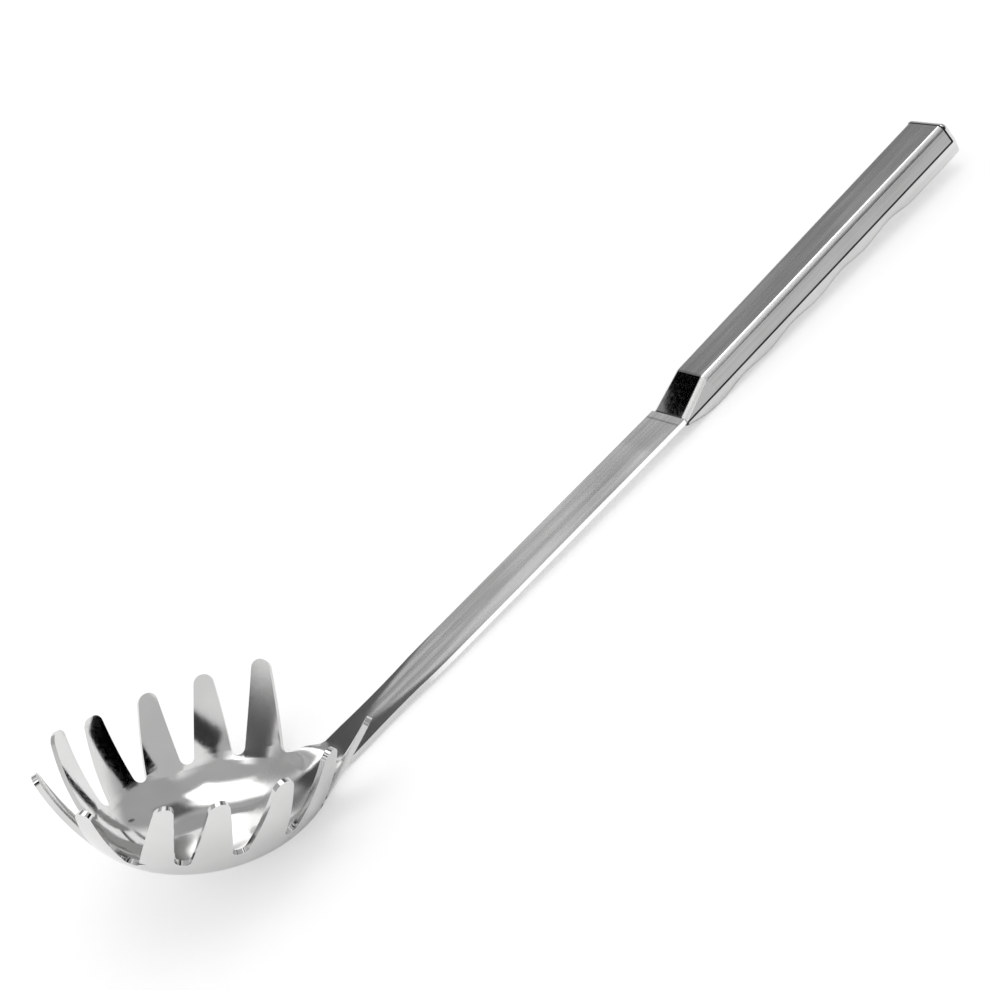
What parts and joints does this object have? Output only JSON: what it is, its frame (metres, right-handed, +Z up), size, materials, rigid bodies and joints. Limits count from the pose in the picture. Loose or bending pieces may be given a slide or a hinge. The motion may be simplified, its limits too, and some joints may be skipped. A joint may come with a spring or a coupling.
{
  "type": "pasta server",
  "caption": "Polished steel pasta server: a shallow bowl with upturned tines on a flat strip shaft, with a hollow wave-backed handle.",
  "frame": {"origin": "bottom centre of the server as it lies on a table, on the back of its bowl and its handle", "axes": "+X from the bowl along the handle, +Z up from the table, +Y across"},
  "size_m": [0.334, 0.0888, 0.0525],
  "materials": {
    "polished_steel": "mirror-polished stainless steel, lightly brushed along the shaft",
    "brushed_steel": "stainless steel brushed along the handle, with polished ridges",
    "polished_shell_steel": "polished stainless steel"
  },
  "bodies": {
    "root": {"bowl_and_shaft": "polished_steel", "handle_upper_shell": "brushed_steel", "handle_lower_shell": "polished_shell_steel"}
  },
  "joints": []
}
